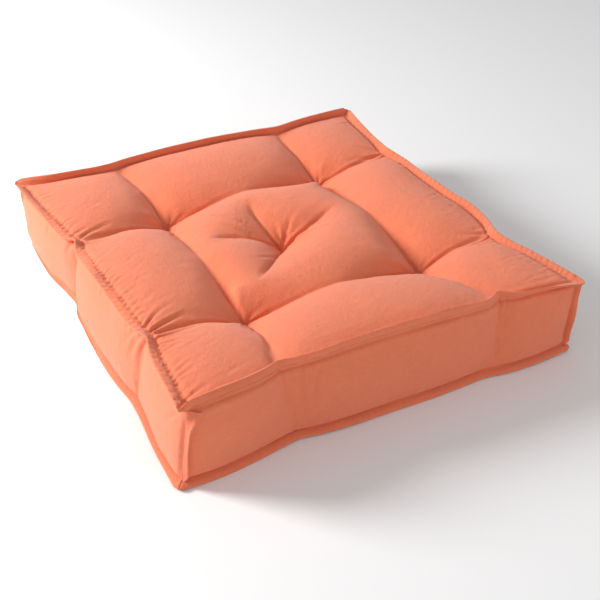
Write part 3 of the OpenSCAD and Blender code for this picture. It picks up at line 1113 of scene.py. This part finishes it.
def stitches(name, runs):
    """One mesh of separate sewn stitches along runs of (points, facing)."""
    verts, quads, total = [], [], 0
    turn = np.arange(THREAD_SIDES) * 2 * math.pi / THREAD_SIDES
    rings = len(STITCH_RINGS)
    one = []
    for r in range(rings - 1):
        for k in range(THREAD_SIDES):
            a, b = r * THREAD_SIDES + k, r * THREAD_SIDES + (k + 1) % THREAD_SIDES
            one.append((a, b, b + THREAD_SIDES, a + THREAD_SIDES))
    last = (rings - 1) * THREAD_SIDES
    one += [(0, 3, 2, 1), (0, 5, 4, 3)]
    one += [(last, last + 1, last + 2, last + 3), (last, last + 3, last + 4, last + 5)]
    one = np.array(one)
    for points, ups in runs:
        place, forward, up = along_run(points, ups, STITCH_PITCH)
        side = np.cross(forward, up)
        ring_mid = place[:, None, :] + forward[:, None, :] * (STITCH_RINGS * STITCH_LENGTH)[None, :, None]
        ring_mid = ring_mid + up[:, None, :] * STITCH_RISE[None, :, None]
        round_it = side[:, None, None, :] * np.cos(turn)[None, None, :, None]
        round_it = round_it + up[:, None, None, :] * np.sin(turn)[None, None, :, None]
        pts = ring_mid[:, :, None, :] + round_it * (THREAD_R * STITCH_SIZE)[None, :, None, None]
        pts = pts.reshape(-1, 3)
        count = len(place)
        starts = np.arange(count) * rings * THREAD_SIDES + total
        quads.append((one[None, :, :] + starts[:, None, None]).reshape(-1, 4))
        verts.append(pts)
        total += len(pts)
    return make_mesh(name, np.concatenate(verts), np.concatenate(quads))


# grid lines without a stitch at each end of a seam
STITCH_ENDS = 2


def panel_run(face, side):
    """The stitch row of a panel's flange along one side."""
    grid, n = panel_grids[face]
    axis, sign, _ = SIDES[side]
    row = N_EDGE - 1 - STITCH_ROW if sign < 0 else -N_EDGE + STITCH_ROW
    span = slice(N_EDGE + STITCH_ENDS, -N_EDGE - STITCH_ENDS)
    return (grid[row, span], n[row, span]) if axis == "v" else (grid[span, row], n[span, row])


def band_run(side, upper):
    full, n = band_grids[side]
    col = -N_EDGE + STITCH_ROW if upper else N_EDGE - 1 - STITCH_ROW
    ends = len(STRIP) + 1 + STITCH_ENDS
    return full[ends:-ends, col], n[ends:-ends, col]


def corner_run(corner):
    runs = []
    for side, ends in BAND_ENDS.items():
        if corner in ends:
            full, n = band_grids[side]
            row = len(STRIP) - 1 - STITCH_ROW if ends.index(corner) == 0 else -len(STRIP) + STITCH_ROW
            span = slice(N_EDGE + STITCH_ENDS, -N_EDGE - STITCH_ENDS)
            runs.append((full[row, span], n[row, span]))
    return runs


threads = {}
for face in PANELS:
    runs = [panel_run(face, side) for side in SIDES] + [band_run(side, face == "top") for side in SIDES]
    threads[face + "_seam_stitching"] = stitches(face + "_seam_stitches", runs)
for corner in CORNERS:
    threads[corner + "_corner_stitching"] = stitches(corner + "_corner_stitches", corner_run(corner))


def tube(name, line, radius, sides=10):
    """A closed round tube along a line of points."""
    line = np.asarray(line, float)
    forward = np.gradient(line, axis=0)
    forward /= np.linalg.norm(forward, axis=1, keepdims=True)
    side = np.array([1.0, 0.3, 0.2])
    pts = []
    turn = np.arange(sides) * 2 * math.pi / sides
    for p, f in zip(line, forward):
        side = side - f * (side @ f)
        side /= np.linalg.norm(side)
        other = np.cross(f, side)
        pts.append(p + radius * (np.cos(turn)[:, None] * side + np.sin(turn)[:, None] * other))
    pts = np.concatenate(pts)
    n = len(line)
    quads = [
        (r * sides + k, r * sides + (k + 1) % sides, (r + 1) * sides + (k + 1) % sides, (r + 1) * sides + k)
        for r in range(n - 1)
        for k in range(sides)
    ]
    for base, order in ((0, -1), ((n - 1) * sides, 1)):
        for k in range(1, sides - 2, 2):
            cap = (base, base + k, base + k + 1, base + k + 2)
            quads.append(cap[::order])
    return make_mesh(name, pts, np.array(quads))


def smooth_line(points, n):
    """A Catmull-Rom line of n points through a few points."""
    points = np.asarray(points, float)
    return resample(len(points), np.linspace(0, 1, n)) @ points


TWINE_R = 0.95
# the twisted legs: their distance from the middle, the twist's pitch, how far inside the cover they end
TWIST_R, TWIST_PITCH, LEG_TOP, LEG_BOTTOM = 1.0, 9.0, 6, 2
# the twine over a tuft, from leg to leg: along, across and up from the cloth
OVER_TUFT = [
    (-3.4, 0, -3.0), (-3.0, 0, -0.6), (-1.6, 0.2, 0.7), (0, 0, 1.0),
    (1.6, -0.2, 0.7), (3.0, 0, -0.6), (3.4, 0, -3.0),
]
KNOT_SIZE, KNOT_DROP, KNOT_DEPTH = 0.85, 0.6, 0.9


def surface_height(grid, spot):
    flat = grid.reshape(-1, 3)
    return flat[np.argmin(((flat[:, :2] - spot) ** 2).sum(1)), 2]


ties = {}
for tie, spot in TUFTS.items():
    top_z, low_z = (surface_height(panel_grids[face][0], spot) for face in PANELS)
    legs = []
    for start in (0.0, math.pi):
        z = np.linspace(top_z - LEG_TOP, low_z + LEG_BOTTOM, 34)
        twist = start + (top_z - z) * 2 * math.pi / TWIST_PITCH
        x, y = spot[0] + TWIST_R * np.cos(twist), spot[1] + TWIST_R * np.sin(twist)
        legs.append(np.stack([x, y, z], axis=1))
    over = np.array([spot[0], spot[1], top_z]) + np.array(OVER_TUFT)
    loop = np.concatenate([legs[1][::-1], smooth_line(over, 31), legs[0]])
    turn = np.linspace(0, 2 * math.pi, 97)
    knot = np.stack([
        spot[0] + KNOT_SIZE * (np.sin(turn) + 2 * np.sin(2 * turn)),
        spot[1] + KNOT_SIZE * (np.cos(turn) - 2 * np.cos(2 * turn)),
        low_z - KNOT_DROP - KNOT_DEPTH * np.sin(3 * turn),
    ], axis=1)
    ties[tie] = tube(tie + "_twine", loop, TWINE_R)
    tube(tie + "_knot", knot, TWINE_R).parent = ties[tie]

# ---------------- the filling

# cells of a form's grid by which its creases are widened, and a step too big to be a crease
CREASE_CELLS, NOT_A_CREASE = 3, 40
# how far inside the cover the filling stands, its lowest point, and its share of the cloth's move
FILL_INSIDE, FILL_FLOOR, FILL_MOVE = 5.6, 1.6, 0.6
# how the ties pinch it, and how it is drawn in where the seams are
TUFT_PINCH, TUFT_PINCH_REACH = 4.0, 9.0
KINK_PULL, KINK_REACH = 0.022, 38.0


def filling():
    """The stuffing, as a closed mesh just inside the cover."""
    grids, faces, place, _ = stuffed_lattice()
    for face, form in (("top", top_form), ("bottom", -under_form)):
        low = form
        for axis in (0, 1):
            low = np.minimum.reduce([np.roll(low, k, axis) for k in range(-CREASE_CELLS, CREASE_CELLS + 1)])
        low = np.where(np.abs(low - form) > NOT_A_CREASE, form, low)
        sunk = (low - form) * (-1 if face == "bottom" else 1)
        axis = np.linspace(-HALF, HALF, LATTICE + 1)
        place[grids[face], 2] += form_at(sunk, axis, axis)
    for face, move in moves.items():
        place[grids[face]] = place[grids[face]] + move * FILL_MOVE
    n = np.zeros_like(place)
    p = place[faces]
    face_n = np.cross(p[:, 2] - p[:, 0], p[:, 3] - p[:, 1])
    for k in range(4):
        np.add.at(n, faces[:, k], face_n)
    n /= np.maximum(np.linalg.norm(n, axis=1, keepdims=True), 1e-9)
    place = place - n * FILL_INSIDE
    place[:, 2] = np.maximum(place[:, 2], FILL_FLOOR)
    for tuft in TUFTS.values():
        away = place[:, :2] - tuft
        d = np.linalg.norm(away, axis=1, keepdims=True)
        near = bell(d, TUFT_PINCH_REACH)
        level = np.where(place[:, 2:] > (TOP_Z + BOTTOM_Z) / 2, -TUFT_PINCH, TUFT_PINCH)
        place[:, 2:] = place[:, 2:] + level * near
    for kink in KINKS.values():
        d = np.linalg.norm(place[:, :2] - kink, axis=1, keepdims=True)
        place[:, :2] *= 1 - KINK_PULL * bell(d, KINK_REACH)
    return make_mesh("fibre_filling", place, faces)


fill = filling()

# ---------------- materials


class Graph:
    """Short words for building a node material."""

    def __init__(self, name):
        self.mat = bpy.data.materials.new(name)
        self.mat.use_nodes = True
        self.tree = self.mat.node_tree
        self.shader = self.tree.nodes["Principled BSDF"]

    def node(self, kind, props=None, **inputs):
        made = self.tree.nodes.new(kind)
        for key, value in (props or {}).items():
            setattr(made, key, value)
        for key, value in inputs.items():
            self.put(made.inputs[key.replace("_", " ")], value)
        return made

    def put(self, socket, value):
        if isinstance(value, bpy.types.NodeSocket):
            self.tree.links.new(value, socket)
        else:
            socket.default_value = value

    def maths(self, operation, a, b=0.0, c=0.0):
        made = self.tree.nodes.new("ShaderNodeMath")
        made.operation = operation
        for socket, value in zip(made.inputs, (a, b, c)):
            self.put(socket, value)
        return made.outputs[0]

    def noise(self, vector, scale, detail=2.0, rough=0.5):
        made = self.node("ShaderNodeTexNoise", Vector=vector, Scale=scale, Detail=detail, Roughness=rough)
        return made.outputs["Fac"]

    def stretched(self, vector, x, y, z=1.0):
        made = self.node("ShaderNodeVectorMath", {"operation": "MULTIPLY"})
        self.put(made.inputs[0], vector)
        made.inputs[1].default_value = (x, y, z)
        return made.outputs[0]

    def mix(self, fac, a, b):
        made = self.node("ShaderNodeMix", {"data_type": "RGBA"})
        self.put(made.inputs[0], fac)
        self.put(made.inputs[6], a)
        self.put(made.inputs[7], b)
        return made.outputs[2]

    def total(self, *parts):
        """Adds up (value, weight) pairs."""
        made = None
        for value, weight in parts:
            scaled = self.maths("MULTIPLY", value, weight)
            made = scaled if made is None else self.maths("ADD", made, scaled)
        return made

    def spread(self, value, low, high):
        """Maps the middle half of a noise onto low..high."""
        ends = {"From_Min": 0.25, "From_Max": 0.75, "To_Min": low, "To_Max": high}
        return self.node("ShaderNodeMapRange", Value=value, **ends).outputs[0]

    def finish(self, colour, roughness, height, strength, distance):
        """Drives the shader's colour and roughness, and bumps it by height."""
        self.put(self.shader.inputs["Base Color"], colour)
        self.put(self.shader.inputs["Roughness"], roughness)
        bump = self.node("ShaderNodeBump", Strength=strength, Distance=distance, Height=height)
        self.put(self.shader.inputs["Normal"], bump.outputs[0])

    def set(self, **values):
        for key, value in values.items():
            self.shader.inputs[key.replace("_", " ")].default_value = value


COVER_COLOUR = (0.89, 0.218, 0.103)
# metres from yarn to yarn
YARN_PITCH = 0.00085


def shade(colour, by):
    return tuple(min(1.0, c * by) for c in colour) + (1.0,)


def cotton(name, colour):
    """Matte plain-weave cotton with slubby yarns, read in metres of cloth."""
    g = Graph(name)
    cloth = g.node("ShaderNodeUVMap", {"uv_map": "cloth"}).outputs[0]
    warp = g.noise(g.stretched(cloth, 1500, 190), 1.0, 3.0, 0.6)
    weft = g.noise(g.stretched(cloth, 190, 1500), 1.0, 3.0, 0.6)
    long_warp = g.noise(g.stretched(cloth, 520, 75), 1.0, 3.0, 0.6)
    long_weft = g.noise(g.stretched(cloth, 75, 520), 1.0, 3.0, 0.6)
    patches = g.noise(g.stretched(cloth, 1, 1), 28.0, 3.0, 0.55)
    wrinkles = g.noise(g.stretched(cloth, 1, 1), 130.0, 4.0, 0.6)
    fuzz = g.noise(g.stretched(cloth, 1, 1), 1600.0, 2.0, 0.6)
    across = g.node("ShaderNodeSeparateXYZ", Vector=cloth).outputs
    yarns = [g.maths("SINE", g.maths("MULTIPLY", across[k], 2 * math.pi / YARN_PITCH)) for k in (0, 1)]
    weave = g.maths("MULTIPLY", *yarns)
    slub = g.maths("ADD", warp, weft)
    long_slub = g.maths("MULTIPLY", g.maths("ADD", long_warp, long_weft), 0.5)
    tone = g.total((slub, 0.2), (long_slub, 0.44), (patches, 0.16))
    shades = g.mix(g.spread(tone, 0.0, 1.0), shade(colour, 0.80), shade(colour, 1.12))
    height = g.total((slub, 0.9), (weave, 0.10), (fuzz, 0.30), (long_slub, 1.3), (wrinkles, 2.2))
    g.finish(shades, g.spread(patches, 0.84, 0.94), height, strength=0.9, distance=0.0007)
    g.set(Sheen_Weight=0.32, Sheen_Roughness=0.5, Sheen_Tint=(1.0, 0.9, 0.86, 1.0), Specular_IOR_Level=0.25)
    return g.mat


def spun(name, colour, twist, fine):
    """Spun thread or twine: a lengthwise fibre grain broken up by noise."""
    g = Graph(name)
    place = g.node("ShaderNodeTexCoord").outputs["Object"]
    grain = g.noise(g.stretched(place, fine, fine, fine), 1.0, 3.0, 0.6)
    bands = {"wave_type": "BANDS", "bands_direction": "DIAGONAL"}
    ply = g.node("ShaderNodeTexWave", bands, Vector=place, Scale=twist, Distortion=1.5).outputs["Fac"]
    both = g.total((grain, 0.5), (ply, 0.5))
    shades = g.mix(both, shade(colour, 0.82), shade(colour, 1.1))
    g.finish(shades, g.spread(grain, 0.6, 0.8), both, strength=0.6, distance=0.0003)
    g.set(Sheen_Weight=0.1, Sheen_Roughness=0.5, Specular_IOR_Level=0.3)
    return g.mat


def wadding(name):
    """White polyester fibre: cloudy, matte and uneven."""
    g = Graph(name)
    place = g.node("ShaderNodeTexCoord").outputs["Object"]
    tufts = g.noise(place, 90.0, 5.0, 0.65)
    strands = g.noise(g.stretched(place, 1400, 300, 700), 1.0, 3.0, 0.6)
    shades = g.mix(g.spread(tufts, 0.0, 1.0), (0.80, 0.77, 0.71, 1), (0.94, 0.93, 0.90, 1))
    height = g.maths("ADD", tufts, g.maths("MULTIPLY", strands, 0.35))
    g.finish(shades, g.spread(strands, 0.85, 1.0), height, strength=0.9, distance=0.003)
    g.set(Sheen_Weight=0.4, Sheen_Roughness=0.5, Specular_IOR_Level=0.2)
    return g.mat


cotton_mat = cotton("coral_cotton", COVER_COLOUR)
thread_mat = spun("sewing_thread", (0.80, 0.20, 0.095), 900.0, 2500.0)
twine_mat = spun("tying_twine", (0.74, 0.19, 0.09), 420.0, 1600.0)
fibre_mat = wadding("polyester_fibre")

# ---------------- each piece's material, in place of its part

# the cover's pieces, each with its seam allowance of a flange's width
for node, ob in cover.items():
    ob.data.materials.append(cotton_mat)
    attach(ob, "root")
    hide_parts(node)
for node, ob in threads.items():
    ob.data.materials.append(thread_mat)
    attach(ob, "root")
    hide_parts(node)
for node, ob in ties.items():
    ob.data.materials.append(twine_mat)
    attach(ob, "root")
    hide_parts(node)
    for knot in ob.children:
        knot.data.materials.append(twine_mat)
        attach(knot, "root")
fill.data.materials.append(fibre_mat)
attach(fill, "root")
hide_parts("fibre_fill")

# ---------------- camera, light and floor

WIDTH = CAD_HI.x - CAD_LO.x
CAM_AZ, CAM_EL, CAM_ROLL = math.radians(-32.208), math.radians(34.899), math.radians(3.415)
CAM_DISTANCE = 2.3462 * WIDTH
CAM_AIM = Vector((-0.1102 * WIDTH, -0.2655 * WIDTH, (TOP_Z + PLY) * MM))
view_dir = Vector((
    -math.sin(CAM_AZ) * math.cos(CAM_EL),
    math.cos(CAM_AZ) * math.cos(CAM_EL),
    -math.sin(CAM_EL),
))
level_right = Vector((math.cos(CAM_AZ), math.sin(CAM_AZ), 0))
level_up = level_right.cross(view_dir)
right = level_right * math.cos(CAM_ROLL) + level_up * math.sin(CAM_ROLL)
up = right.cross(view_dir)
cam_data = bpy.data.cameras.new("camera")
cam_data.lens = 65.04
cam_data.sensor_width = 36
cam = bpy.data.objects.new("camera", cam_data)
turn = Matrix((right, up, -view_dir)).transposed().to_4x4()
cam.matrix_world = Matrix.Translation(CAM_AIM - view_dir * CAM_DISTANCE) @ turn
bpy.context.scene.collection.objects.link(cam)
bpy.context.scene.camera = cam

WORLD_STRENGTH = 0.48
LIGHT_AIM = (0, 0, 0.06)
FLOOR_HALF = 8
world = bpy.data.worlds.new("studio")
bpy.context.scene.world = world
world.use_nodes = True
world.node_tree.nodes["Background"].inputs["Color"].default_value = (1, 1, 1, 1)
world.node_tree.nodes["Background"].inputs["Strength"].default_value = WORLD_STRENGTH


def area_light(name, place, size, energy):
    """A round light, aimed at the middle of the cushion."""
    data = bpy.data.lights.new(name, "AREA")
    data.shape = "DISK"
    data.size = size
    data.energy = energy
    ob = bpy.data.objects.new(name, data)
    ob.location = place
    ob.rotation_euler = (Vector(LIGHT_AIM) - Vector(place)).to_track_quat("-Z", "Y").to_euler()
    bpy.context.scene.collection.objects.link(ob)


area_light("key", place=(-1.9, 1.25, 1.15), size=0.9, energy=88)
area_light("fill", place=(0.7, -2.6, 0.75), size=2.0, energy=15)
bpy.context.scene.view_settings.view_transform = "Standard"

floor_me = bpy.data.meshes.new("floor")
floor_corners = [(x * FLOOR_HALF, y * FLOOR_HALF, 0) for x, y in ((-1, -1), (1, -1), (1, 1), (-1, 1))]
floor_me.from_pydata(floor_corners, [], [(0, 1, 2, 3)])
floor = bpy.data.objects.new("floor", floor_me)
bpy.context.scene.collection.objects.link(floor)
floor_look = Graph("floor")
floor_look.set(Base_Color=(0.9, 0.9, 0.9, 1), Roughness=1.0)
floor_me.materials.append(floor_look.mat)
